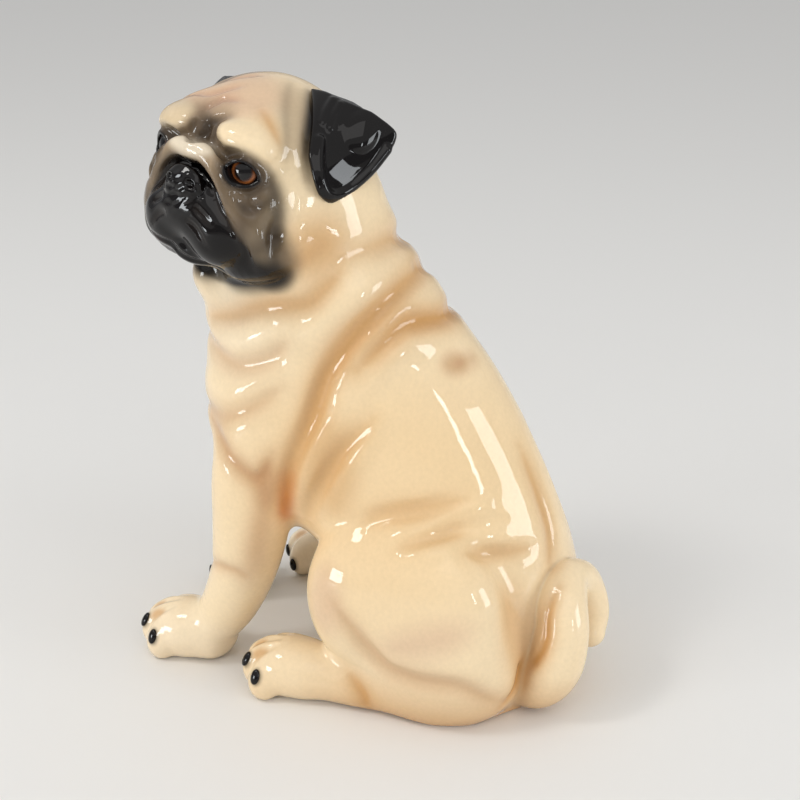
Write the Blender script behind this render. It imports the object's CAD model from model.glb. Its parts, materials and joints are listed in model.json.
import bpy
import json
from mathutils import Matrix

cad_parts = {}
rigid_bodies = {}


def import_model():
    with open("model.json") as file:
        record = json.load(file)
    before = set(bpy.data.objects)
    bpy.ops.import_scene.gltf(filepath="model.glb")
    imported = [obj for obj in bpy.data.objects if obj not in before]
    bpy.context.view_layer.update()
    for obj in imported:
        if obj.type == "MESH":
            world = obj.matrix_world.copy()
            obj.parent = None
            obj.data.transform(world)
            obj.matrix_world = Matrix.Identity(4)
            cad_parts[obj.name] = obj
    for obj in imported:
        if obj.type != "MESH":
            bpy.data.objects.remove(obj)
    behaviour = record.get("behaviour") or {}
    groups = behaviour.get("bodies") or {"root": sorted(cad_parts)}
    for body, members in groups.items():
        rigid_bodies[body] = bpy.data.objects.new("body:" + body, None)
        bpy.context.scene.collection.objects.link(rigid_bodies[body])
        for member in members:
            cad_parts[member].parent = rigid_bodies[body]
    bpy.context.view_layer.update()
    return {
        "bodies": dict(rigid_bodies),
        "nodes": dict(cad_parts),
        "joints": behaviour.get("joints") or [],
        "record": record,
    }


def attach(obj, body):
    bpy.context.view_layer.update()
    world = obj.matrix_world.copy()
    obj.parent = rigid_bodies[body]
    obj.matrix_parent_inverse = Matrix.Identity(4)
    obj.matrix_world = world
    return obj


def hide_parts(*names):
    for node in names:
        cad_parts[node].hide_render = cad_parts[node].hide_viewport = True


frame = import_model()

import json
import math

import bpy
import numpy as np
from mathutils import Matrix, Vector


# ------------------------------------------------------------------ clay: a distance field in mm
def turn_matrix(about_x, about_y, about_z):
    """Rotation about X, then Y, then Z, in degrees."""
    a, b, c = (math.radians(v) for v in (about_x, about_y, about_z))
    rx = np.array([[1, 0, 0], [0, math.cos(a), -math.sin(a)], [0, math.sin(a), math.cos(a)]])
    ry = np.array([[math.cos(b), 0, math.sin(b)], [0, 1, 0], [-math.sin(b), 0, math.cos(b)]])
    rz = np.array([[math.cos(c), -math.sin(c), 0], [math.sin(c), math.cos(c), 0], [0, 0, 1]])
    return rz @ ry @ rx

def curve(points, per_span=5):
    """A smooth line through the points. Extra columns, such as a radius, go along."""
    pts = np.asarray(points, float)
    if len(pts) < 3:
        return pts
    pad = np.vstack([2 * pts[0] - pts[1], pts, 2 * pts[-1] - pts[-2]])
    rows = []
    for i in range(1, len(pad) - 2):
        p0, p1, p2, p3 = pad[i - 1:i + 3]
        for t in np.linspace(0, 1, per_span, endpoint=False):
            bend = (2 * p0 - 5 * p1 + 4 * p2 - p3) * t * t + (3 * p1 - p0 - 3 * p2 + p3) * t ** 3
            rows.append(0.5 * (2 * p1 + (p2 - p0) * t + bend))
    rows.append(pts[-1])
    return np.array(rows)

def join(a, b, blend):
    """Union of two distances with a rounded joint."""
    if blend <= 0:
        return np.minimum(a, b)
    t = np.clip(0.5 + 0.5 * (b - a) / blend, 0, 1)
    return b + (a - b) * t - blend * t * (1 - t)

def carve(a, b, blend):
    """Distance a with the inside of b taken away."""
    return -join(-a, b, blend)

def along_line(x, y, z, line):
    """Squared distance to a polyline, and how far along it (0 to 1) the nearest point is."""
    best = where = None
    last = len(line) - 1
    for i in range(last):
        a, ab = line[i], line[i + 1] - line[i]
        length2 = max(float(ab @ ab), 1e-9)
        t = ((x - a[0]) * ab[0] + (y - a[1]) * ab[1] + (z - a[2]) * ab[2]) / length2
        t = np.clip(t, 0, 1)
        near = a[0] + t * ab[0], a[1] + t * ab[1], a[2] + t * ab[2]
        d2 = (x - near[0]) ** 2 + (y - near[1]) ** 2 + (z - near[2]) ** 2
        if best is None:
            best, where = d2, (i + t) / last
        else:
            where = np.where(d2 < best, (i + t) / last, where)
            best = np.minimum(best, d2)
    return best, where

def stroke(x, y, z, line, width, fade, strength):
    """The strength along a line, falling off to its sides and towards both its ends."""
    d2, where = along_line(x, y, z, line)
    ends = np.sin(np.pi * np.clip(where, 0.02, 0.98)) ** fade
    return strength * ends * np.exp(-d2 / width ** 2)

def ellipsoid_distance(p, radii):
    """Near distance to an ellipsoid, or in a plane to an ellipse, from coordinate arrays."""
    inner = np.sqrt(sum((q / radius) ** 2 for q, radius in zip(p, radii)))
    slope = np.sqrt(sum((q / radius ** 2) ** 2 for q, radius in zip(p, radii)))
    return inner * (inner - 1) / np.maximum(slope, 1e-9)

def outline_distance(u, v, loop):
    """Distance in a plane to a line of points, under 0 inside the loop that it makes."""
    flat = np.column_stack([loop, 0 * loop[:, :1]])
    d2, _ = along_line(u, v, 0 * u, flat)
    inside = np.zeros(np.shape(u), bool)
    for a, b in zip(loop[:-1], loop[1:]):
        crosses = (a[1] > v) != (b[1] > v)
        inside ^= crosses & (u < a[0] + (v - a[1]) * (b[0] - a[0]) / (b[1] - a[1] + 1e-12))
    return np.where(inside, -1, 1) * np.sqrt(d2)

class Frame:
    """A local frame: a point p in it stands at origin + turn p."""

    def __init__(self, origin=(0, 0, 0), turn=None):
        self.origin = np.array(origin, float)
        self.turn = np.eye(3) if turn is None else turn

    def out(self, points):
        return np.asarray(points, float) @ self.turn.T + self.origin

    def into(self, points):
        return (np.asarray(points, float) - self.origin) @ self.turn

WORLD = Frame()
# How far apart a slope's samples lie, in mm: close on a mesh, wider for a drawn line.
FINE = 0.15
WIDE = 0.5

class Clay:
    """A stack of strokes, each confined to a box, that together give a distance field."""

    FAR = 60.0

    def __init__(self):
        self.strokes = []

    def add(self, low, high, change):
        self.strokes.append((np.asarray(low, float), np.asarray(high, float), change))

    def ball(self, centre, radii, blend=8, turn=(0, 0, 0), frame=WORLD, sides=(1,), dig=False):
        """An ellipsoid added, or dug out. sides (1, -1) repeats it mirrored in X."""
        radii = np.array(radii, float)
        for side in sides:
            at = frame.out(np.array(centre, float) * (side, 1, 1))
            basis = frame.turn @ turn_matrix(turn[0], turn[1] * side, turn[2] * side)
            reach = np.sqrt(((basis * radii) ** 2).sum(1)) + blend + 2

            def change(x, y, z, d, at=at, basis=basis):
                q = (x - at[0], y - at[1], z - at[2])
                p = [basis[0, i] * q[0] + basis[1, i] * q[1] + basis[2, i] * q[2] for i in range(3)]
                e = ellipsoid_distance(p, radii)
                return carve(d, e, blend) if dig else join(d, e, blend)

            self.add(at - reach, at + reach, change)

    def limb(self, rows, blend=6, frame=WORLD, sides=(1,), per_span=4):
        """A round limb through rows of X, Y, Z, radius."""
        for side in sides:
            pts = curve(rows, per_span).copy()
            pts[:, 0] *= side
            pts[:, :3] = frame.out(pts[:, :3])
            reach = pts[:, 3:] + blend + 2

            def change(x, y, z, d, pts=pts):
                d2, where = along_line(x, y, z, pts[:, :3])
                radius = np.interp(where, np.linspace(0, 1, len(pts)), pts[:, 3])
                return join(d, np.sqrt(d2) - radius, blend)

            self.add((pts[:, :3] - reach).min(0), (pts[:, :3] + reach).max(0), change)

    def column(self, rows, blend=6):
        """An upright body through rows of Z, centre X, centre Y, half X, half Y."""
        rows = np.array(rows, float)
        fine = curve(rows, 8)
        low = (fine[0, 0], (fine[:, 1] - fine[:, 3]).min(), (fine[:, 2] - fine[:, 4]).min())
        high = (fine[-1, 0], (fine[:, 1] + fine[:, 3]).max(), (fine[:, 2] + fine[:, 4]).max())

        def change(x, y, z, d):
            cx, cy, rx, ry = (np.interp(z, fine[:, 0], fine[:, i]) for i in (1, 2, 3, 4))
            e = ellipsoid_distance((x - cx, y - cy), (rx, ry))
            ends = np.maximum(fine[0, 0] - z, z - fine[-1, 0]) + 0 * e
            return join(d, -join(-e, -ends, 12), blend)

        margin = blend + 14
        self.add((low[1] - margin, low[2] - margin, low[0] - margin),
                 (high[1] + margin, high[2] + margin, high[0] + margin), change)

    def snap(self, points, rounds=6, most=4, step=WIDE):
        """The points moved onto the surface as it stands now."""
        for _ in range(rounds):
            slope = self.slope(points, step)
            move = self.at(points) / np.maximum((slope ** 2).sum(1), 0.05)
            points = points - np.clip(move, -most, most)[:, None] * slope
        return points

    def line(self, points, width, depth, frame=WORLD, sides=(1,)):
        """A groove (depth over 0) or a ridge (under 0) along a line drawn on the surface."""
        drawn = []
        for side in sides:
            pts = self.snap(frame.out(curve(points) * (side, 1, 1)))
            drawn.append(pts)

            def change(x, y, z, d, pts=pts):
                return d + stroke(x, y, z, pts, width, 0.6, depth)

            self.add(pts.min(0) - 2.6 * width, pts.max(0) + 2.6 * width, change)
        return drawn

    def at(self, points):
        """The field at some points, through the strokes whose boxes hold them."""
        x, y, z = points.T
        d = np.full(len(points), self.FAR)
        for low, high, change in self.strokes:
            inside = np.all((points > low) & (points < high), axis=1)
            i = np.nonzero(inside)[0]
            if len(i):
                d[i] = change(x[i], y[i], z[i], d[i])
        return d

    def slope(self, points, step=FINE):
        """The field's gradient, from four samples around each point."""
        corners = np.array([[1, -1, -1], [-1, -1, 1], [-1, 1, -1], [1, 1, 1]], float)
        total = np.zeros_like(points)
        for corner in corners:
            total += corner * self.at(points + corner * step)[:, None]
        return total / (4 * step)

    def normals(self, points, step=FINE):
        slope = self.slope(points, step)
        return slope / np.maximum(np.linalg.norm(slope, axis=1), 1e-9)[:, None]

    def fill(self, low, high, pitch):
        """The field on a whole grid in a box."""
        axes = [np.arange(low[i], high[i] + pitch, pitch) for i in range(3)]
        field = np.full([len(a) for a in axes], self.FAR, np.float32)
        for box_low, box_high, change in self.strokes:
            cut = [slice(np.searchsorted(a, box_low[i]), np.searchsorted(a, box_high[i]))
                   for i, a in enumerate(axes)]
            if any(c.stop <= c.start for c in cut):
                continue
            x = axes[0][cut[0]][:, None, None]
            y = axes[1][cut[1]][None, :, None]
            z = axes[2][cut[2]][None, None, :]
            field[tuple(cut)] = change(x, y, z, field[tuple(cut)])
        return axes, field

def surface_net(axes, field):
    """One vertex in each cell that the surface crosses, one quad at each crossed edge."""
    inside = field < 0
    nx, ny, nz = field.shape
    count = np.zeros((nx - 1, ny - 1, nz - 1), np.int8)
    corners = np.array([[i, j, k] for i in (0, 1) for j in (0, 1) for k in (0, 1)])
    for i, j, k in corners:
        count += inside[i:nx - 1 + i, j:ny - 1 + j, k:nz - 1 + k]
    live = (count > 0) & (count < 8)
    cells = np.argwhere(live)
    number = np.full(live.shape, -1, np.int64)
    number[live] = np.arange(len(cells))
    value = np.stack([field[tuple((cells + c).T)] for c in corners], 1)
    total = np.zeros((len(cells), 3))
    hits = np.zeros(len(cells))
    for a in range(8):
        for b in range(a + 1, 8):
            if np.abs(corners[a] - corners[b]).sum() != 1:
                continue
            cross = (value[:, a] < 0) != (value[:, b] < 0)
            t = np.where(cross, value[:, a] / np.where(cross, value[:, a] - value[:, b], 1), 0)
            total[cross] += (corners[a] + t[:, None] * (corners[b] - corners[a]))[cross]
            hits[cross] += 1
    pitch = axes[0][1] - axes[0][0]
    verts = (total / hits[:, None] + cells) * pitch + [a[0] for a in axes]
    quads = []
    for axis, (u, v) in enumerate(((1, 2), (2, 0), (0, 1))):
        one = np.moveaxis(inside, axis, 0)
        edge = np.argwhere(one[:-1] != one[1:])
        edge = edge[:, {0: (0, 1, 2), 1: (1, 0, 2), 2: (1, 2, 0)}[axis]]
        fits = (edge[:, u] > 0) & (edge[:, v] > 0)
        fits &= (edge[:, u] < live.shape[u]) & (edge[:, v] < live.shape[v])
        edge = edge[fits]
        steps = np.zeros((4, 3), int)
        steps[[0, 3], u] = 1
        steps[[0, 1], v] = 1
        quad = np.stack([number[tuple((edge - s).T)] for s in steps], 1)
        flip = ~inside[tuple(edge.T)]
        quad[flip] = quad[flip][:, ::-1]
        quads.append(quad)
    return verts, np.vstack(quads)

COARSE = 1.0

def skin(clay, low, high, pitch):
    """Mesh the clay's surface in a box, with each vertex moved onto the exact surface."""
    pitch *= COARSE
    verts, quads = surface_net(*clay.fill(low, high, pitch))
    return clay.snap(verts, 2, pitch, FINE), quads


# ------------------------------------------------------------------ the dog's shape
# Millimetres, the dog facing -Y with its left side at +X, the floor at Z = 0.
BOTH = (1, -1)
HEAD_TURN = turn_matrix(0, 0, 72) @ turn_matrix(-5, 0, 0) @ turn_matrix(0, 8, 0)
HEAD = Frame((20, -49.5, 261), HEAD_TURN)
EYE_AT = (22, -32, 3.5)
EYE_RADIUS = 9.0

def trunk(clay):
    """The barrel: rows of height, centre X and Y, half width, half depth."""
    clay.column([(-24, 1, 60, 46, 38), (0, 1, 58, 54, 45), (16, 1, 56, 60, 52), (44, 1, 51, 60, 58),
                 (74, 1, 34.5, 57, 68.5), (100, 1, 14.5, 55, 79.5), (130, 2, -1, 53, 81),
                 (160, 3, -10.5, 50, 73), (185, 5, -18, 48, 62), (205, 8, -23, 46, 54),
                 (222, 11, -29, 44, 48), (240, 15, -34.5, 41, 45.5), (258, 18, -40, 37, 44),
                 (278, 19, -47, 27, 30)], 4)
    clay.ball((32, -42, 136), (23, 33, 50), 16, (10, 0, 0), sides=BOTH)
    clay.ball((4, -64, 190), (28, 20, 30), 16)
    clay.ball((2, -61, 145), (32, 22, 40), 14)
    clay.ball((18, -73, 207), (22, 12.5, 15), 8)

def haunches(clay):
    """Thigh, knee and seat on each side."""
    clay.ball((52, 36, 56), (26, 48, 44), 9, (-8, 0, -6), sides=BOTH)
    clay.ball((55, 8, 56), (19, 23, 34), 12, (6, 0, 0), sides=BOTH)
    clay.ball((55, 53, 28), (22, 36, 32), 14, sides=BOTH)

PAWS = {"left_foreleg": (Frame((43, -92, 0)), 1),
        "right_foreleg": (Frame((-25, -91, 0), turn_matrix(0, 0, -50)), -1),
        "left_hind_foot": (Frame((60, -25, 0)), 1),
        "right_hind_foot": (Frame((-61, -54, 0), turn_matrix(0, 0, -10)), -1)}

def forelegs(clay):
    """The near foreleg stands straight. The far one is set forward and turns its paw out."""
    clay.limb([(41, -44, 138, 20), (45, -49, 112, 20), (45, -51, 84, 19.5), (45, -56, 58, 17),
               (44, -65, 36, 15), (43, -76, 19, 13)], 8)
    clay.limb([(-21, -45, 138, 20), (-24, -53, 112, 20), (-24, -62, 84, 18), (-22, -73, 58, 15.5),
               (-21, -81, 36, 13), (-20, -86, 19, 11.5)], 8)
    near, far = PAWS["left_foreleg"][0], PAWS["right_foreleg"][0]
    clay.ball((0, 0, 14), (17.5, 25, 16.5), 6, (6, 0, 0), frame=near)
    clay.ball((0, 15, 10), (13, 11, 10), 5, frame=near)
    clay.ball((0, 0, 14), (14.5, 17, 14), 5, (6, 0, 0), frame=far)

def hind_feet(clay):
    """Long hind feet flat on the floor, each ending in its paw."""
    for frame, side in (PAWS["left_hind_foot"], PAWS["right_hind_foot"]):
        x, y, _ = frame.origin
        clay.limb([(x - 4 * side, y + 72, 14, 15), (x - side, y + 42, 12, 13), (x, y + 12, 13, 13)], 8)
        clay.ball((0, 0, 14), (17, 24, 15.5), 6, frame=frame)

def tail(clay):
    """A thick tail that rises from the floor and curls over to the far side."""
    clay.limb([(30, 84, 10, 12), (36, 97, 17, 14.5), (38, 105, 29, 14.5), (36, 108, 45, 13),
               (30, 106.5, 58, 12), (19, 106, 64, 10.5), (7, 110, 60, 9.5), (1, 113, 50, 9.5),
               (2, 115.5, 40, 9.5), (7, 116.5, 31, 8)], 2, per_span=12)

def skull(clay):
    """Round cranium with full cheeks."""
    clay.ball((0, 5, 0), (43, 43, 41), 14, frame=HEAD)
    clay.ball((0, -8, 6), (36, 28, 26), 10, frame=HEAD)
    clay.ball((24, -10, -20), (22, 25, 24), 10, frame=HEAD, sides=BOTH)

def face(clay):
    """Flat muzzle under a nose fold that runs on into the cheek rolls."""
    clay.ball((0, -22, 0), (36, 20, 25), 8, frame=HEAD)
    clay.ball((0, -30, -20), (28, 19, 20), 6, frame=HEAD)
    clay.ball((15, -36, -25), (17, 14, 17), 5, (0, 0, 20), frame=HEAD, sides=BOTH)
    clay.ball((0, -45, -16), (14, 8, 12), 6, frame=HEAD)
    clay.ball((0, -33, -38), (14, 13, 8), 3, frame=HEAD)
    roll = [(0, -44.5, 8.5, 5), (9, -44.5, 7, 5), (16, -43.5, 1, 4.8), (22, -41.5, -8, 5),
            (28, -37, -17, 5.5), (33, -32, -26, 6), (35, -27, -36, 5)]
    clay.limb(roll, 4, HEAD, BOTH, 8)
    clay.ball((20, -34, 15.5), (15, 8, 7.5), 3, (0, 12, 15), frame=HEAD, sides=BOTH)
    clay.ball((2, -44, 16), (3, 5, 6), 3, (0, 15, 0), frame=HEAD, sides=BOTH, dig=True)
    clay.ball((34, -29, -9), (7, 7, 8), 7, frame=HEAD, sides=BOTH)
    jowl = [(10, -25, -41, 7), (22, -27, -40, 8), (33, -25, -35, 8.5), (41, -18, -26, 8)]
    clay.limb(jowl, 6, HEAD, BOTH)
    clay.ball((18, -22, 16), (16, 12, 11), 8, frame=HEAD, sides=BOTH)
    clay.ball((0, -49, -7), (11, 4.5, 8), 2, frame=HEAD)

LID_RADII = (7.8, 14, 7.7)
LID_LIFTS = (3.2, -2.8)

def lid_field(x, y, z, side):
    """Distance to the almond that the lids leave open: where two tilted ellipsoids overlap."""
    outward = turn_matrix(0, 14 * side, 22 * side)
    p = np.stack(np.broadcast_arrays(x, y, z), -1) @ HEAD.turn @ outward
    centre = np.array((EYE_AT[0] + 5, EYE_AT[1] - 11, EYE_AT[2])) * (side, 1, 1)
    at = HEAD.out(centre) @ HEAD.turn @ outward
    field = -99.0
    for lift in LID_LIFTS:
        q = p - at - (0, 0, lift)
        inner = np.sqrt(sum((q[..., i] / LID_RADII[i]) ** 2 for i in range(3)))
        field = np.maximum(field, (inner - 1) * LID_RADII[2])
    return field

def eyelids(clay):
    """A lidded bulge round each eyeball, with heavy rims, opened to an almond."""
    clay.ball(EYE_AT, (EYE_RADIUS + 1.3,) * 3, 3, frame=HEAD, sides=BOTH)
    for side in BOTH:
        at = HEAD.out(np.array((EYE_AT[0] + 3, EYE_AT[1] - 6, EYE_AT[2])) * (side, 1, 1))

        def lids(x, y, z, d, side=side):
            field = lid_field(x, y, z, side)
            rim = 0.7 * np.exp(-((field - 1.4) / 1.1) ** 2)
            rim -= 0.3 * np.exp(-((field - 4.0) / 1.4) ** 2)
            return carve(d - rim, field, 0.5)

        clay.add(at - 16, at + 16, lids)
    clay.ball(EYE_AT, (EYE_RADIUS - 0.6,) * 3, 0, frame=HEAD, sides=BOTH)

TOES = [(14.5, -12, 13), (6.5, -19, 16), (-4, -20, 16), (-13, -13, 13)]

def between_toes():
    """The place between each two neighbouring toes, across and ahead."""
    return [((near[0] + far[0]) / 2, (near[1] + far[1]) / 2) for near, far in zip(TOES[:-1], TOES[1:])]

def toes(clay, frame, side):
    """Four soft toes with channels between them."""
    for across, ahead, up in TOES:
        clay.ball((0.84 * across, 0.84 * ahead, up - 4), (6.4, 8, 9.5), 3, frame=frame, sides=(side,))
    for across, ahead in between_toes():
        channel = [(0.5 * across, -3, 29), (0.8 * across, 0.7 * ahead, 24),
                   (1.1 * across, 1.3 * ahead, 10)]
        clay.line(channel, 1.9, 1.6, frame, (side,))

BASE_MIDDLE = (1, 57)
RECESS_HALF = (43, 35)
RECESS_HEIGHT = 2
VENT_RADIUS = 5
VENT_HEIGHT = 12

def underside(clay):
    """A flat base with a shallow recess inside the foot ring, and a vent in its middle."""
    clay.add((-200, -200, -40), (200, 200, 8), lambda x, y, z, d: carve(d, z + 0 * (x + y), 1.5))

    def recess(x, y, z, d):
        px, py = x - BASE_MIDDLE[0], y - BASE_MIDDLE[1]
        across = np.sqrt((px / RECESS_HALF[0]) ** 2 + (py / RECESS_HALF[1]) ** 2)
        d = carve(d, np.maximum((across - 1) * RECESS_HALF[1], z - RECESS_HEIGHT), 1)
        return carve(d, np.maximum(np.hypot(px, py) - VENT_RADIUS, z - VENT_HEIGHT), 1)

    clay.add((-50, 10, -3), (52, 104, 14), recess)


# ------------------------------------------------------------------ the dog's colours
def rgb(red, green, blue):
    """Screen colour, 0 to 255, as linear light."""
    c = np.array([red, green, blue], float) / 255
    return np.where(c <= 0.04045, c / 12.92, ((c + 0.055) / 1.055) ** 2.4)

CREAM = rgb(234, 211, 174)
SAND = rgb(230, 199, 153)
PALE = rgb(240, 226, 202)
TAN = rgb(184, 122, 34)
BROWN = rgb(166, 108, 58)
ORANGE = rgb(196, 104, 34)
MAUVE = rgb(204, 168, 140)
ROSE = rgb(170, 122, 100)
TAUPE = rgb(142, 120, 96)
OLIVE = rgb(66, 54, 42)
SOOT = rgb(48, 38, 30)
BLACK = rgb(12, 9, 9)
LIVER = rgb(70, 22, 20)


# ------------------------------------------------------------------ creases and rolls
# Crease rows: name, points, width, depth, tint, the tint's spread and its strength.
# Roll rows: name, points, width, and a depth under 0, because a roll stands out.
BODY_CREASES = [
    ("neck under the jaw", [(30, -77, 186), (43, -59, 191), (52, -36, 200), (54, -15, 204),
                            (51, -6, 211), (47, 0, 218)], 4.2, 3.4, TAN, 5, 0.55),
    ("fold behind the shoulder", [(53, -28, 100), (56, -24, 120), (56, -17, 138), (54, -12, 151),
                                  (53, -6, 169), (49, 5, 187), (40, 17, 201), (26, 24, 209),
                                  (10, 27, 212), (-8, 25, 213)], 4.2, 5.4, TAN, 6, 0.75),
    ("second fold", [(47, 8, 174), (37, 25, 191), (28, 32, 193), (12, 39, 191),
                     (-8, 40, 191)], 4.4, 4.8, TAN, 6, 0.8),
    ("nape fold", [(40, -2, 224), (28, 10, 227), (14, 15, 228), (3, 15, 226),
                   (-12, 12, 225)], 5, 4.0, TAN, 7, 0.35),
    ("chest fold", [(0, -84, 178), (22, -78, 176), (41, -68, 173), (50, -52, 169), (53, -34, 175),
                    (53, -24, 185)], 4.2, 3.0, BROWN, 5, 0.35),
    ("lower chest", [(0, -86, 145), (25, -82, 143), (49, -66, 142), (57, -52, 146), (57, -39, 153),
                     (54, -27, 162)], 4.5, 2.2, BROWN, 6, 0.28),
    ("breast point", [(40, -76, 138), (56, -61, 133), (63, -50, 124), (61, -38, 117),
                      (59, -32, 129)], 4, 2.6, BROWN, 5, 0.5),
    ("ribs", [(58, 18, 152), (54, 6, 137), (55, -3, 124), (54, -13, 107), (49, -19, 91)],
     4.2, 3.4, TAN, 5, 0.4),
    ("flank, top", [(57, 13, 100), (55, 26, 105), (51, 43, 109), (43, 60, 112)], 4, 3.2, TAN, 5, 0.3),
    ("flank, middle", [(66, 33, 93), (59, 48, 97), (46, 61, 100)], 3.5, 2.2, TAN, 5, 0.2),
    ("flank, back", [(57, 64, 91), (41, 77, 86), (29, 90, 85)], 3.5, 2.6, TAN, 4, 0.35),
    ("thigh and foot", [(72, 6, 62), (76, 15, 51), (76, 22, 42), (77, 32, 34), (79, 46, 32),
                        (77, 66, 31), (72, 76, 26), (63, 85, 18)], 4.6, 4.0, BROWN, 5, 0.5),
    ("hock", [(69, 9, 23), (72, 18, 14), (69, 20, 4)], 3, 1.8, TAN, 5, 0.4),
    ("beside the tail", [(61, 85, 13), (53, 91, 24), (53, 99, 45), (48, 100, 57), (35, 105, 70)],
     2.5, 2.0, TAN, 4, 0.6),
    ("beside the spine", [(13, 79, 130), (14, 90, 106), (16, 96, 88), (24, 99, 73)],
     4.5, 2.4, TAN, 5, 0.45),
    ("wrist", [(45, -76, 58), (59, -65, 64), (63, -53, 64), (59, -46, 59)], 3, 1.4, BROWN, 4, 0.3),
]
ROLLS = [
    ("neck roll", [(50, -34, 197), (53, -18, 186), (51, -3, 199), (42, 10, 210), (25, 18, 219)], 7, -2.6),
    ("shoulder roll", [(54, -4, 150), (53, 2, 162), (50, 9, 178), (43, 17, 189), (30, 28, 198)], 6, -2.2),
    ("second roll", [(53, 4, 147), (50, 14, 166), (40, 26, 181), (22, 40, 184)], 6, -2.0),
    ("fore rib", [(54, -18, 108), (55, -12, 130), (54, -1, 148), (53, 5, 160)], 5.5, -2.8),
    ("hind rib", [(54, -7, 99), (55, 4, 122), (52, 17, 143), (47, 25, 158)], 6, -2.4),
    ("flank roll", [(64, 24, 93), (55, 44, 102), (44, 60, 106), (34, 73, 107)], 5.5, -2.4),
    ("hip roll", [(69, 36, 89), (61, 53, 94), (45, 68, 94), (32, 84, 92)], 5, -2.0),
    ("breast roll", [(30, -74, 180), (44, -61, 180), (51, -40, 184), (53, -24, 192)], 6, -2.0),
    ("chest roll", [(36, -74, 156), (52, -58, 156), (54, -40, 162), (54, -25, 171)], 6, -2.0),
]
FACE_CREASES = [
    ("under the eye", [(22, -44, -5), (28, -42, -9), (35, -38, -9), (40, -32, -3)],
     3.2, 1.5, SOOT, 3, 0.6),
    ("outer cheek", [(36, -31, 4), (40, -31, -4), (41, -30, -14), (39, -29, -26), (38, -26, -36)],
     3.0, 3.2, SOOT, 4.2, 0.85),
    ("inside the nose fold", [(0, -48, 3.5), (8, -47, 2), (14, -46.5, -3), (19, -46, -11),
                              (25, -42, -20), (30, -37, -29), (33, -31, -38)], 2, 1.6, SOOT, 2, 0.5),
    ("under the brow", [(6, -41, 12), (12, -42, 10), (18, -42, 11), (25, -41, 12)],
     2.0, 3.2, SOOT, 3.2, 0.9),
    ("frown", [(4, -40, 23), (5, -42, 17), (4, -43, 11)], 1.8, 1.8, SOOT, 2.5, 0.5),
    ("brow arc", [(3, -41, 11), (0, -39, 16), (2, -37, 21), (8, -34, 25)], 2, 2.0, SOOT, 3, 0.6),
    ("flew", [(-18, -49, -31), (-12, -52, -24), (-6, -53, -21)], 1.6, 1.2, SOOT, 2, 0.3),
    ("beside the nose", [(9, -50, -14), (13, -49, -17), (18, -46, -21)], 1.6, 1.2, SOOT, 2, 0.3),
    ("temple", [(9, 3, 40), (20, -10, 36), (28, -18, 28), (34, -23, 18), (37, -25, 9)],
     4, 1.2, SOOT, 4, 0.35),
    ("in front of the ear", [(24, 4, 36), (33, -9, 26), (39, -14, 13), (43, -15, 0)],
     3, 1.0, SOOT, 4, 0.4),
    ("outer brow", [(17, -24, 30), (25, -26, 24), (33, -27, 16)], 3, 0.8, TAN, 4, 0.35),
]
MIDDLE_CREASES = [
    ("first wrinkle", [(-26, -16, 33), (-18, -14, 37), (-11, -11, 39), (-2, -6, 41)],
     2.5, 1.5, ROSE, 3.5, 0.6),
    ("second wrinkle", [(-22, -25, 26), (-13, -26, 29), (-6, -22, 34), (0, -18, 36)],
     2.2, 1.4, ROSE, 3.5, 0.55),
    ("main wrinkle", [(-7, -31, 27), (-4, -30, 29), (-2, -28, 31), (7, -26, 32)],
     2.0, 1.6, ROSE, 3.5, 0.75),
    ("short wrinkle", [(-7, -34, 24), (-6, -33, 26), (-4, -31, 28)], 1.6, 1.2, ROSE, 3, 0.65),
]
LIP = [(-22, -46, -34), (-11, -48, -38), (1, -48, -42), (11, -43, -46), (16, -36, -50)]

def creases(clay):
    """Press in every crease. Returns the drawn lines with their tints."""
    drawn = []
    for _, points, width, height in ROLLS:
        clay.line(points, width, height, WORLD, BOTH)
    tables = ((WORLD, BOTH, BODY_CREASES), (HEAD, BOTH, FACE_CREASES), (HEAD, (1,), MIDDLE_CREASES))
    for frame, sides, table in tables:
        for _, points, width, depth, tint, spread, strength in table:
            for line in clay.line(points, width, depth, frame, sides):
                drawn.append((line, tint, spread, strength))
    clay.line(LIP, 1.5, 1.8, HEAD)
    nose_ridge = [(-14, -43, -12), (-12, -46, -5), (-7, -48, 0.5), (0, -49, 2), (7, -48, 0.5),
                  (12, -46, -5), (14, -43, -12)]
    clay.line(nose_ridge, 1.5, -1.3, HEAD)
    return drawn

def nose(clay):
    """A pebbled nose pad with two comma nostrils."""
    middle = HEAD.out((0, -50, -8))

    def pebbles(x, y, z, d):
        p = [x - middle[0], y - middle[1], z - middle[2]]
        inside = np.exp(-(p[0] ** 2 + p[1] ** 2 + p[2] ** 2) / 9.0 ** 2)
        grain = np.sin(1.3 * p[0] + 0.8 * p[2]) + np.sin(1.1 * p[1] - 1.2 * p[2])
        grain += np.sin(1.6 * p[2] + 1)
        return d + 0.2 * inside * grain

    clay.add(middle - 16, middle + 16, pebbles)
    clay.ball((6.5, -53.5, -5), (2.4, 3.5, 2.0), 0.8, (0, 30, 0), frame=HEAD, sides=BOTH, dig=True)
    clay.line([(8, -52, -5), (11, -51, -7), (12, -49, -11)], 1.2, 1.2, HEAD, BOTH)

def figure():
    """The whole figure but its ears, and the lines to airbrush."""
    clay = Clay()
    trunk(clay)
    haunches(clay)
    forelegs(clay)
    hind_feet(clay)
    skull(clay)
    face(clay)
    tail(clay)
    drawn = creases(clay)
    nose(clay)
    eyelids(clay)
    for frame, side in PAWS.values():
        toes(clay, frame, side)
    underside(clay)
    return clay, drawn


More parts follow.
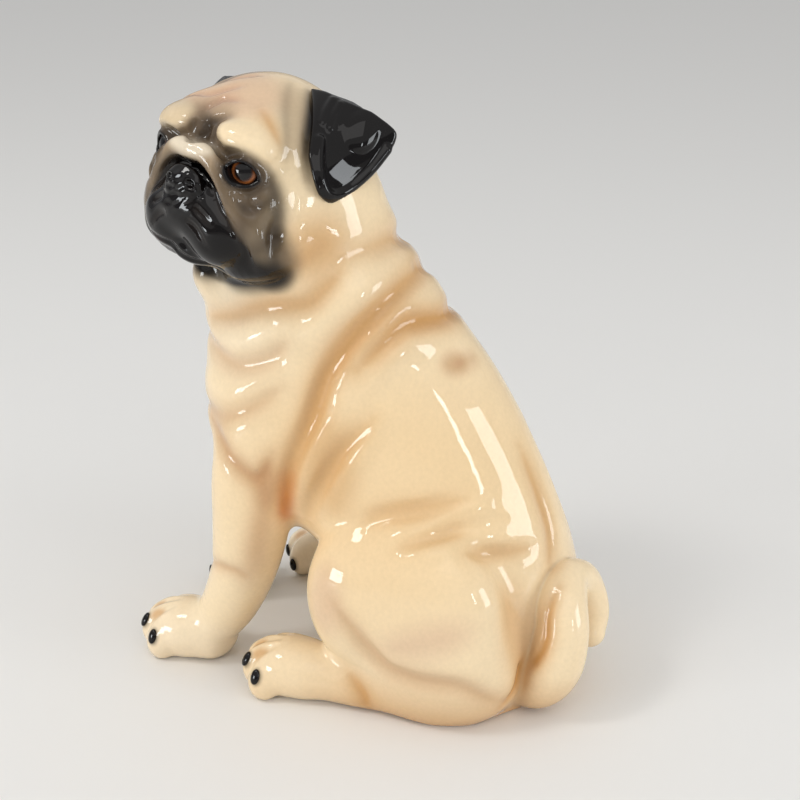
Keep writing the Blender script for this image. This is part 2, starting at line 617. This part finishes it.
# ------------------------------------------------------------------ seams between the castings
def seam_limb(rows):
    """A field over the whole figure, under 0 in the space that one casting fills."""
    clay = Clay()
    clay.FAR = 400.0
    clay.limb(rows, 0)
    _, _, change = clay.strokes.pop()
    clay.add((-clay.FAR,) * 3, (clay.FAR,) * 3, change)
    return clay

SEAMS = {
    "left_foreleg": [(41, -44, 106, 24), (45, -50, 84, 24), (45, -56, 58, 23), (44, -65, 36, 22),
                     (43, -80, 16, 24), (43, -97, 12, 27)],
    "right_foreleg": [(-23, -48, 106, 24), (-24, -60, 84, 24), (-22, -70, 58, 22),
                      (-22, -78, 36, 20), (-23, -88, 16, 21), (-29, -97, 12, 22)],
    "left_hind_foot": [(60, -33, 12, 24), (60, -13, 12, 20), (59, 17, 12, 18), (57, 35, 12, 16)],
    "right_hind_foot": [(-56, -60, 12, 25), (-61, -42, 12, 21), (-60, -12, 12, 18), (-58, 6, 12, 16)],
    "tail": [(30, 84, 10, 14), (36, 97, 17, 17.5), (38, 105, 29, 17.5), (36, 108, 45, 16),
             (30, 107, 58, 15), (19, 107, 64, 13.5), (7, 111, 60, 12.5), (1, 114, 50, 12.5),
             (2, 117, 40, 12.5), (7, 118, 31, 11)],
}


# ------------------------------------------------------------------ ears, in the head's frame
EAR = Frame((44, 5, 18), turn_matrix(-36, 30, 31))
EAR_OUTLINE = [(-28, 14), (-22, 16), (-13, 16.5), (-1, 19), (7, 20), (14, 20), (16.5, 17), (17.5, 12),
               (18, 0), (17, -9), (15, -18), (12, -25), (6, -27.5), (1, -26), (-7, -20), (-11, -15),
               (-17, -4), (-23, 6)]
EAR_RIM = [(-10, -8), (-4, -17), (1.5, -22), (7, -24), (11, -21), (14, -13), (16, -1), (16, 11)]

def ear_sag(u, v):
    """How far the flap's middle surface lies inwards of its plane: it wraps the temple."""
    tip = np.minimum(v + 6, 0)
    return -3.5 + 0.13 * u + 0.0124 * u * u - 0.013 * u * v - 0.008 * tip * tip

def leaf(clay, frame, outline, half):
    """A thin curved slab inside a closed outline of X, Z points, facing -Y."""
    loop = curve(np.array(outline + outline[:1], float), 3)
    reach = np.abs(loop).max() + 8

    def change(x, y, z, d):
        p = np.stack(np.broadcast_arrays(x, y, z), -1).astype(float)
        u, w, v = np.moveaxis(frame.into(p), -1, 0)
        flat = outline_distance(u, v, loop)
        return join(d, carve(flat, half - np.abs(w - ear_sag(u, v)), 2.0), 1.5)

    clay.add(frame.origin - reach, frame.origin + reach, change)

def ear_clay():
    """The dog's left ear: a wrapping flap with a rolled rim on a fleshy root."""
    clay = Clay()
    clay.limb([(22, 17, 26, 10), (34, 20, 25, 9), (46, 20, 20, 6)], 4)
    leaf(clay, EAR, EAR_OUTLINE, 1.8)
    clay.limb([(u, ear_sag(u, v) - 1.3, v, 2.0) for u, v in EAR_RIM], 2.0, EAR)
    clay.ball((2, ear_sag(2, 10) - 0.6, 9), (6.5, 2.6, 9), 2.5, (0, -15, 0), frame=EAR)
    for u in (-17, -13):
        wrinkle = [(u, 13), (u + 1, 6), (u + 3, 0)]
        clay.limb([(a, ear_sag(a, b) - 1.2, b, 1.3) for a, b in wrinkle], 2.0, EAR)
    return clay

def ear_front():
    """Where the ear's front edge meets the skull, in the figure's frame."""
    edge = [(-28, 16), (-24, 8), (-18, -3), (-12, -14), (-8, -20)]
    return np.array([EAR.out((u, ear_sag(u, v), v)) for u, v in edge])


# ------------------------------------------------------------------ paint: colour by place
class Paint:
    """Layers of colour, each with a mask from 0 to 1 over points in the figure's frame."""

    def __init__(self, base):
        self.base = np.array(base)
        self.layers = []

    def layer(self, colour, mask):
        self.layers.append((np.array(colour), mask))

    def patch(self, colour, centre, radii, soft, strength=1.0, sides=(1,), turn=(0, 0, 0), frame=WORLD):
        """A soft-edged ellipsoid of colour. soft is the fade in mm across the edge."""
        for side in sides:
            basis = frame.turn @ turn_matrix(turn[0], turn[1] * side, turn[2] * side)
            at = frame.out(np.array(centre, float) * (side, 1, 1))
            size = np.array(radii, float)

            def mask(p, at=at, basis=basis):
                q = (p - at) @ basis
                t = np.clip(0.5 - ellipsoid_distance(q.T, size) / soft, 0, 1)
                return strength * t * t * (3 - 2 * t)

            self.layer(colour, mask)

    def patches(self, rows, frame=WORLD):
        """Patches from rows that give what patch takes, up to the turn."""
        for row in rows:
            self.patch(*row, frame=frame)

    def spray(self, colour, line, width, strength):
        """An airbrushed line along points already in the figure's frame."""
        self.layer(colour, lambda p: stroke(*p.T, line, width, 0.5, strength))

    def at(self, points):
        colour = np.repeat(self.base[None], len(points), 0).astype(float)
        for tint, mask in self.layers:
            m = np.clip(mask(points), 0, 1)[:, None]
            colour = colour * (1 - m) + tint * m
        return colour


# ------------------------------------------------------------------ where the colours go
MUZZLE_EDGE = [(0, 5), (8, 4), (15, -1), (20.5, -10), (26.5, -19), (31.5, -28), (35, -38),
               (31, -47), (14, -54), (0, -57)]

def muzzle_mask(p):
    """1 inside the muzzle's outline as seen from the front of the head."""
    q = HEAD.into(p)
    edge = curve(np.array(MUZZLE_EDGE, float), 4)
    t = np.clip(0.5 - outline_distance(np.abs(q[:, 0]), q[:, 2], edge) / 2.5, 0, 1)
    return t * t * (3 - 2 * t) * np.clip((-q[:, 1] - 14) / 8, 0, 1)

def face_paint(paint):
    """Black muzzle, grey cheeks and lids, warm wrinkles on the brow."""
    paint.patches([
        (MAUVE, (-4, -20, 30), (26, 24, 16), 14, 0.6),
        (TAUPE, (-2, -36, 22), (14, 12, 10), 10, 0.5),
        (TAUPE, (0, -36, -10), (37, 24, 34), 9, 0.85),
        (OLIVE, (33, -34, -14), (9, 12, 20), 8, 0.75, BOTH),
        (OLIVE, (37, -27, -34), (12, 14, 16), 9, 0.8, BOTH)], HEAD)
    groove = curve([(0, -48, 5.5), (9, -48, 4.5), (16, -46, 0), (23, -45, -9), (29, -40, -19),
                    (34, -35, -29)])
    for side in BOTH:
        paint.spray(SOOT, HEAD.out(groove * (side, 1, 1)), 2.6, 0.75)
    paint.patches([
        (PALE, (0, -46, 10), (13, 7, 4.5), 5, 0.7),
        (OLIVE, (0, -40, 17), (8, 9, 6), 5, 0.75),
        (CREAM, (21, -38, 19), (12, 9, 7), 5, 1.0, BOTH, (0, 12, 15)),
        (TAUPE, (-18, -38, 22), (14, 10, 9), 9, 0.3),
        (OLIVE, (25, -40, 4), (11, 9, 8), 4, 0.8, BOTH, (0, 14, 0)),
        (BLACK, (20, -26, -45), (25, 17, 10), 9, 0.95, BOTH, (0, -18, 0)),
        (BLACK, (33, -28, -41), (13, 16, 9), 8, 0.85, BOTH)], HEAD)
    paint.layer(BLACK, muzzle_mask)
    under = curve(np.array(LIP, float) + (0, 1, -2.5))
    paint.spray(LIVER, HEAD.out(under), 1.8, 0.6)

def lid_paint(paint):
    """A glossy black rim round each eye opening, fading through grey."""
    for side in BOTH:
        def mask(p, side=side, reach=1.6, soft=1.0):
            field = lid_field(*p.T, side)
            near = np.linalg.norm(HEAD.into(p) - np.array(EYE_AT) * (side, 1, 1), axis=1) < 18
            return near * np.clip(0.5 + (reach - field) / soft, 0, 1)

        paint.layer(OLIVE, lambda p, mask=mask: 0.75 * mask(p, reach=5.0, soft=5.0))
        paint.layer(BLACK, mask)

def ear_root_paint(paint):
    """A soft black edge on the skull in front of each ear, and grey streaks on the temple."""
    for side in BOTH:
        mirror = np.array((side, 1, 1))
        edge = curve(ear_front()) * mirror
        paint.spray(TAUPE, HEAD.out(edge + (-2 * side, -4, 0)), 8, 0.55)
        paint.spray(BLACK, HEAD.out(edge), 3.6, 1.0)

def base_shade(p):
    """Strongest at the floor and towards the rump, and light on the far side."""
    low = np.clip(1 - p[:, 2] / 30, 0, 1)
    return 0.65 * low * np.clip(p[:, 1] / 40 + 0.6, 0.2, 1) * np.clip(p[:, 0] / 30 + 1, 0, 1)

def body_paint(paint):
    """Sand flanks, a pale chest, brown shading in the hollows, orange behind the elbow."""
    paint.patch(SAND, (30, 20, 110), (80, 75, 60), 60, 0.7)
    paint.layer(TAN, base_shade)
    paint.patches([
        (TAN, (52, -10, 230), (12, 18, 12), 24, 0.6, BOTH, (25, 0, 0)),
        (TAN, (58, -2, 125), (8, 12, 26), 16, 0.3, BOTH),
        (TAN, (50, 88, 45), (12, 14, 30), 18, 0.4, BOTH),
        (PALE, (0, -60, 190), (60, 45, 40), 40, 0.4),
        (PALE, (40, -95, 10), (110, 40, 20), 20, 0.35),
        (PALE, (-62, -50, 14), (25, 40, 20), 12, 0.8),
        (BROWN, (23, 47, 172), (7, 7, 5), 9, 0.5, BOTH),
        (BROWN, (17, 55, 172), (10, 7, 4), 9, 0.35, BOTH)])
    elbow = np.array([(55, -24, 122), (54, -27, 108), (52, -29, 96), (49, -28, 88)], float)
    for side in BOTH:
        paint.spray(ORANGE, elbow * (side, 1, 1), 4.5, 0.85)
    paint.patch(BROWN, (60, -34, 112), (7, 6, 12), 10, 0.35, BOTH)
    leg = np.array([(62, -36, 122), (61, -36, 100), (61, -42, 76), (58, -46, 58)], float)
    paint.spray(BROWN, leg, 7, 0.45)
    paint.patches([
        (MAUVE, (78, 54, 54), (8, 24, 8), 18, 0.5, BOTH, (20, 0, 0)),
        (MAUVE, (70, 0, 62), (10, 10, 18), 14, 0.5, BOTH),
        (TAUPE, (22, -76, 214), (26, 20, 11), 14, 0.5)])

def paw_paint(paint):
    """A touch of tan between the toes."""
    for frame, side in PAWS.values():
        for across, ahead in between_toes():
            paint.patch(TAN, (0.8 * across, 0.8 * ahead, 21), (2.5, 5, 6), 4, 0.55, (side,), frame=frame)

def coat_paint(drawn):
    """All the airbrushing, from the lines that the creases follow and patches between."""
    paint = Paint(CREAM)
    body_paint(paint)
    paw_paint(paint)
    for line, tint, spread, strength in drawn:
        if tint is not SOOT:
            paint.spray(tint, line, 1.3 * spread, 0.95 * strength)
            paint.spray(tint, line, 0.45 * spread, min(1.2 * strength, 0.8))
    face_paint(paint)
    for line, tint, spread, strength in drawn:
        if tint is SOOT:
            paint.spray(tint, line, spread, strength)
            paint.spray(BLACK, line, 0.45 * spread, 0.6 * strength)
    lid_paint(paint)
    ear_root_paint(paint)
    return paint


# ------------------------------------------------------------------ meshes from the clay
MM = 0.001
# From the clay's millimetres to the part's, whose origin is under the footprint's middle.
SHIFT = np.array([-1.3, -1.3, 0.0])
def cut_skin(verts, quads, keep):
    """The part of a quad skin where keep is under 0, with the open edge capped."""
    tris = np.vstack([quads[:, (0, 1, 2)], quads[:, (0, 2, 3)]])
    inside = keep < 0
    count = inside[tris].sum(1)
    faces = [list(f) for f in tris[count == 3]]
    points = list(verts)
    middle = {}

    def crossing(a, b):
        key = (min(a, b), max(a, b))
        if key not in middle:
            t = keep[key[0]] / (keep[key[0]] - keep[key[1]])
            middle[key] = len(points)
            points.append(verts[key[0]] + t * (verts[key[1]] - verts[key[0]]))
        return middle[key]

    follow = {}
    for tri in tris[(count == 1) | (count == 2)]:
        ins = inside[tri]
        while not (ins[0] and not ins[2]):
            tri, ins = np.roll(tri, 1), np.roll(ins, 1)
        a, b, c = (int(v) for v in tri)
        back = crossing(a, c)
        if ins[1]:
            front = crossing(b, c)
            faces.append([a, b, front, back])
        else:
            front = crossing(a, b)
            faces.append([a, front, back])
        follow[back] = front
    loops = []
    while follow:
        start, here = follow.popitem()
        loop = [start]
        while here != start:
            loop.append(here)
            here = follow.pop(here)
        loops.append(loop)
    for loop in loops:
        hub = len(points)
        points.append(np.mean([points[i] for i in loop], 0))
        faces += [[loop[i], loop[(i + 1) % len(loop)], hub] for i in range(len(loop))]
    return np.array(points), faces

def put(name, data):
    """A new object in the scene."""
    thing = bpy.data.objects.new(name, data)
    bpy.context.collection.objects.link(thing)
    return thing

def smooth_mesh(name, points, faces):
    mesh = bpy.data.meshes.new(name)
    mesh.from_pydata(points, [], faces)
    mesh.polygons.foreach_set("use_smooth", [True] * len(mesh.polygons))
    return mesh

def mesh_object(name, verts, faces, normals=None, colours=None):
    """A mesh object in metres in the figure's frame, from points in millimetres."""
    used = np.unique(np.concatenate([np.asarray(f) for f in faces]))
    number = np.full(len(verts), -1)
    number[used] = np.arange(len(used))
    points = (verts[used] + SHIFT) * MM
    mesh = smooth_mesh(name, points.tolist(), [[int(number[i]) for i in f] for f in faces])
    if colours is not None:
        attribute = mesh.attributes.new("paint", "FLOAT_COLOR", "POINT")
        rgba = np.ones((len(used), 4))
        rgba[:, :3] = colours[used]
        attribute.data.foreach_set("color", rgba.ravel())
    if normals is not None:
        mesh.normals_split_custom_set_from_vertices(normals[used].tolist())
    return put(name, mesh)

def clay_piece(name, clay, box, keep, paint):
    """Mesh the clay in a box and keep what the keep function leaves."""
    verts, quads = skin(clay, *box)
    verts, faces = cut_skin(verts, quads, keep(verts))
    return mesh_object(name, verts, faces, clay.normals(verts), paint.at(verts))


# ------------------------------------------------------------------ materials
def nodes_of(name, **constants):
    """A new material, its node tree, and its shader with some constants set."""
    material = bpy.data.materials.new(name)
    material.use_nodes = True
    shader = material.node_tree.nodes["Principled BSDF"]
    for socket, value in constants.items():
        shader.inputs[socket.replace("_", " ")].default_value = value
    return material, material.node_tree, shader

def add_node(tree, kind, values=(), feeds=(), **settings):
    """A node with its settings, some input values, and other nodes' outputs fed into it."""
    made = tree.nodes.new("ShaderNode" + kind)
    for setting, value in settings.items():
        setattr(made, setting, value)
    for socket, value in dict(values).items():
        made.inputs[socket].default_value = value
    for socket, source in dict(feeds).items():
        tree.links.new(source, made.inputs[socket])
    return made

def multiply(tree, colour, tone):
    """The colour darkened or lightened by a tone around 1."""
    mix = add_node(tree, "Mix", {"Factor": 1}, {"A": colour, "B": tone}, data_type="RGBA",
                   blend_type="MULTIPLY")
    return mix.outputs["Result"]

def glaze(name, painted=True):
    """Glossy fired glaze, airbrushed or plain black, with faint speckle and ripple."""
    material, tree, shader = nodes_of(name, Roughness=0.5, Coat_Weight=1.0, Coat_Roughness=0.03,
                                      Coat_IOR=1.37)
    shader.inputs["Specular IOR Level"].default_value = 0.0
    place = add_node(tree, "TexCoord").outputs["Object"]
    speckle = add_node(tree, "TexNoise", {"Scale": 500, "Detail": 3}, {"Vector": place})
    span = {"From Min": 0.3, "From Max": 0.7, "To Min": 0.97, "To Max": 1.02}
    tone = add_node(tree, "MapRange", span, {"Value": speckle.outputs["Fac"]})
    if painted:
        coat = add_node(tree, "Attribute", attribute_name="paint")
    else:
        coat = add_node(tree, "RGB")
        coat.outputs["Color"].default_value = (*BLACK, 1)
    colour = multiply(tree, coat.outputs["Color"], tone.outputs["Result"])
    tree.links.new(colour, shader.inputs["Base Color"])
    wave = add_node(tree, "TexNoise", {"Scale": 110, "Detail": 1}, {"Vector": place})
    ripple = {"Strength": 0.045, "Distance": 0.002}
    bump = add_node(tree, "Bump", ripple, {"Height": wave.outputs["Fac"]})
    tree.links.new(bump.outputs["Normal"], shader.inputs["Coat Normal"])
    return material

def floor_material():
    """Matt off-white paper."""
    material, _, shader = nodes_of("floor", Roughness=0.7)
    shader.inputs["Base Color"].default_value = (0.8, 0.79, 0.77, 1)
    return material


# ------------------------------------------------------------------ studio
CAMERA_AT = (562.0, 203.7, 374.1)
CAMERA_YAW = -161.16
CAMERA_PITCH = -21.4
CAMERA_FOV = 35.0

def toward(around, up):
    """The unit direction at an azimuth and an elevation in degrees."""
    a, e = math.radians(around), math.radians(up)
    return Vector((math.cos(e) * math.cos(a), math.cos(e) * math.sin(a), math.sin(e)))

def aim(thing, at, ahead):
    """Place a camera or a light with its -Z axis along a direction."""
    turn = ahead.to_track_quat("-Z", "Y").to_matrix().to_4x4()
    thing.matrix_world = Matrix.Translation(at) @ turn

def camera():
    data = bpy.data.cameras.new("camera")
    data.sensor_fit = "HORIZONTAL"
    data.angle = math.radians(CAMERA_FOV)
    data.clip_start = 0.01
    data.clip_end = 20
    thing = put("camera", data)
    aim(thing, Vector(CAMERA_AT) * MM, toward(CAMERA_YAW, CAMERA_PITCH))
    bpy.context.scene.camera = thing

def area_light(name, at, ahead, width, height, power, colour):
    data = bpy.data.lights.new(name, "AREA")
    data.shape = "RECTANGLE"
    data.size, data.size_y = width, height
    data.energy = power
    data.color = colour
    aim(put(name, data), at, ahead)

# Lights: name, azimuth, elevation, distance, width, height, radiance, colour
LIGHTS = [
    ("window_back", 85, 8, 2.0, 0.65, 0.7, 9.0, (0.93, 0.97, 1.0)),
    ("window_slit", 57, 10, 2.0, 0.11, 0.4, 17.0, (0.93, 0.97, 1.0)),
    ("window_front", -43, 5, 2.0, 0.6, 0.45, 17.0, (0.93, 0.97, 1.0)),
    ("lamp", -50, 52, 2.2, 0.42, 0.42, 17.0, (1.0, 0.98, 0.95)),
    ("soft_key", 35, 48, 2.6, 1.8, 1.2, 1.0, (1.0, 0.98, 0.96)),
    ("ceiling", 20, 89, 4.5, 26.0, 26.0, 0.41, (1.0, 0.99, 0.97)),
]
FLOOR_SIZE = 14.0

def studio():
    """A pale floor, a dim even sky and the soft lights round the figure."""
    mesh = bpy.data.meshes.new("floor")
    corners = [(FLOOR_SIZE * x, FLOOR_SIZE * y, 0) for x, y in ((-1, -1), (1, -1), (1, 1), (-1, 1))]
    mesh.from_pydata(corners, [], [(0, 1, 2, 3)])
    floor = put("floor", mesh)
    mesh.materials.append(floor_material())
    world = bpy.data.worlds.new("studio")
    bpy.context.scene.world = world
    world.use_nodes = True
    sky = world.node_tree.nodes["Background"].inputs
    sky["Color"].default_value = (0.95, 0.97, 1.0, 1)
    sky["Strength"].default_value = 0.3
    middle = Vector((0, 0, 0.15))
    for name, around, up, far, width, height, radiance, colour in LIGHTS:
        away = toward(around, up)
        power = radiance * math.pi * width * height
        area_light(name, middle + far * away, -away, width, height, power, colour)
    bpy.context.scene.view_settings.view_transform = "Standard"


# ------------------------------------------------------------------ eyes and nails
IRIS_ANGLE = 41
PUPIL_ANGLE = 24
EYE_SPAN = 60

def eye_material():
    """Amber iris with a dark pupil and rim, from the angle off the gaze (-Y)."""
    material, tree, shader = nodes_of("painted_eye", Roughness=0.25, Coat_Weight=1.0,
                                      Coat_Roughness=0.02, Coat_IOR=1.45)
    shader.inputs["Specular IOR Level"].default_value = 0.0
    place = add_node(tree, "TexCoord").outputs["Object"]
    unit = add_node(tree, "VectorMath", (), {0: place}, operation="NORMALIZE").outputs["Vector"]
    dot = add_node(tree, "VectorMath", {1: (0, -1, 0)}, {0: unit}, operation="DOT_PRODUCT")
    ring = add_node(tree, "Math", (), {0: dot.outputs["Value"]}, operation="ARCCOSINE")
    span = {"From Max": math.radians(EYE_SPAN)}
    share = add_node(tree, "MapRange", span, {"Value": ring.outputs["Value"]})
    ramp = add_node(tree, "ValToRGB", (), {"Fac": share.outputs["Result"]})
    pupil, iris = PUPIL_ANGLE / EYE_SPAN, IRIS_ANGLE / EYE_SPAN
    stops = [(0.0, BLACK), (pupil - 0.02, BLACK), (pupil + 0.05, rgb(70, 36, 18)),
             (iris - 0.12, rgb(150, 86, 40)), (iris - 0.04, rgb(92, 50, 24)), (iris + 0.02, BLACK)]
    elements = ramp.color_ramp.elements
    for i, (at, colour) in enumerate(stops):
        element = elements[i] if i < 2 else elements.new(at)
        element.position = at
        element.color = (*colour, 1)
    streaks = add_node(tree, "TexNoise", {"Scale": 9, "Detail": 3}, {"Vector": unit})
    span = {"To Min": 0.65, "To Max": 1.3}
    tone = add_node(tree, "MapRange", span, {"Value": streaks.outputs["Fac"]})
    colour = multiply(tree, ramp.outputs["Color"], tone.outputs["Result"])
    tree.links.new(colour, shader.inputs["Base Color"])
    return material

def ellipsoid_mesh(centre, axes, rings=24, sides=32):
    """Points and faces of an ellipsoid whose half axes are the rows of axes."""
    points = [centre + axes[2]]
    for i in range(1, rings):
        a = math.pi * i / rings
        for j in range(sides):
            b = 2 * math.pi * j / sides
            round_part = math.cos(b) * axes[0] + math.sin(b) * axes[1]
            points.append(centre + math.sin(a) * round_part + math.cos(a) * axes[2])
    points.append(centre - axes[2])
    faces = [[0, 1 + j, 1 + (j + 1) % sides] for j in range(sides)]
    for i in range(rings - 2):
        for j in range(sides):
            a, b = 1 + i * sides + j, 1 + i * sides + (j + 1) % sides
            faces.append([a, a + sides, b + sides, b])
    last, end = 1 + (rings - 2) * sides, len(points) - 1
    faces += [[end, last + (j + 1) % sides, last + j] for j in range(sides)]
    return points, faces

GAZE = Vector((0.42, -0.86, 0.12))

def eye(name, side):
    """An eyeball whose own -Y axis is its gaze."""
    points, faces = ellipsoid_mesh(np.zeros(3), np.eye(3) * EYE_RADIUS * MM, 32, 48)
    thing = put(name, smooth_mesh(name, [tuple(p) for p in points], faces))
    at = HEAD.out(np.array(EYE_AT) * (side, 1, 1))
    gaze = HEAD.turn @ np.array((side * GAZE.x, GAZE.y, GAZE.z))
    turn = Vector(gaze).to_track_quat("-Y", "Z").to_matrix().to_4x4()
    thing.matrix_world = Matrix.Translation(Vector((at + SHIFT) * MM)) @ turn
    return thing

def nail_spots(clay, frame, side):
    """Where each nail sits on a paw, with the surface's normal there."""
    start = [(1.07 * across * side, 0.98 * ahead, up + (1 if across > 0 else -5))
             for across, ahead, up in TOES]
    spots = clay.snap(frame.out(start))
    return spots, clay.normals(spots, WIDE)

NAIL_HALF = (2.5, 1.5, 4.0)

def nails(name, clay, frame, side):
    """A glossy drop of black on each toe of a paw, as one piece."""
    points, faces = [], []
    for spot, normal in zip(*nail_spots(clay, frame, side)):
        across = np.cross((0, 0, 1), normal)
        across /= np.linalg.norm(across)
        down = np.cross(normal, across)
        axes = np.array([axis * half for axis, half in zip((across, normal, down), NAIL_HALF)])
        more, rows = ellipsoid_mesh(spot, axes, 12, 20)
        faces += [[i + len(points) for i in row] for row in rows]
        points += more
    return mesh_object(name, np.array(points), faces)


# ------------------------------------------------------------------ the pieces
NECK_SEAM = 205.0
# The low and high corner of the box that each piece is meshed in, and the mesh's pitch.
TORSO_BOX = ((-95, -110, -4), (100, 135, 212), 1.35)
HEAD_BOX = ((-55, -120, 198), (90, 62, 308), 0.85)
EAR_BOX = ((5, -35, -25), (80, 45, 50), 0.8)
PIECES = {
    "left_foreleg": ((10, -130, -4), (75, -10, 140), 1.15),
    "right_foreleg": ((-64, -130, -4), (8, -10, 140), 1.4),
    "left_hind_foot": ((30, -65, -4), (90, 65, 44), 1.1),
    "right_hind_foot": ((-96, -100, -4), (-20, 35, 44), 1.4),
    "tail": ((-30, 60, -4), (75, 140, 95), 1.15),
}

def finish_piece(piece, material, slot, *nodes):
    piece.data.materials.append(material)
    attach(piece, "root")
    if nodes:
        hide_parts(*nodes)

def body_pieces(clay, paint, cream):
    """One skin for each casting, cut from the whole figure along the seams."""
    seams = {name: seam_limb(rows) for name, rows in SEAMS.items()}

    def in_piece(name, p):
        keep = seams[name].at(p)
        if name == "right_hind_foot":
            keep = np.maximum(keep, -seams["right_foreleg"].at(p))
        return keep

    for name, box in PIECES.items():
        piece = clay_piece(name + "_glazed", clay, box, lambda p: in_piece(name, p), paint)
        finish_piece(piece, cream, "glazed_cream", name)

    def in_torso(p):
        others = np.min([seam.at(p) for seam in seams.values()], 0)
        return np.maximum(p[:, 2] - NECK_SEAM, -others)

    torso = clay_piece("torso_glazed", clay, TORSO_BOX, in_torso, paint)
    finish_piece(torso, cream, "glazed_cream", "torso_shell")
    head = clay_piece("head_glazed", clay, HEAD_BOX, lambda p: NECK_SEAM - p[:, 2], paint)
    finish_piece(head, cream, "glazed_cream", "head_shell")

FAR_EAR_DROP = (1.5, 3.0, -4.5)

def ear_pieces(black):
    """Both ears from one shape, with the far one lying a little lower."""
    clay = ear_clay()
    verts, quads = skin(clay, *EAR_BOX)
    normals = clay.normals(verts)
    for side, node in ((1, "left_ear"), (-1, "right_ear")):
        faces = quads if side > 0 else quads[:, ::-1]
        mirror = np.array((side, 1, 1))
        drop = (0, 0, 0) if side > 0 else FAR_EAR_DROP
        points = HEAD.out(verts * mirror + drop)
        turned = (normals * mirror) @ HEAD.turn.T
        piece = mesh_object(node + "_glazed", points, [list(f) for f in faces], turned)
        finish_piece(piece, black, "glazed_black", node)

def build():
    clay, drawn = figure()
    paint = coat_paint(drawn)
    for frame, side in PAWS.values():
        for spot in nail_spots(clay, frame, side)[0]:
            paint.patch(OLIVE, spot, (3.4, 3.4, 4.6), 3.5, 0.8)
    black = glaze("glazed_black", False)
    body_pieces(clay, paint, glaze("glazed_cream"))
    ear_pieces(black)
    amber = eye_material()
    for side, name in ((1, "left_eye"), (-1, "right_eye")):
        finish_piece(eye(name, side), amber, "glazed_black")
    for name, (frame, side) in PAWS.items():
        finish_piece(nails(name + "_nails", clay, frame, side), black, "glazed_black")

build()
studio()
camera()
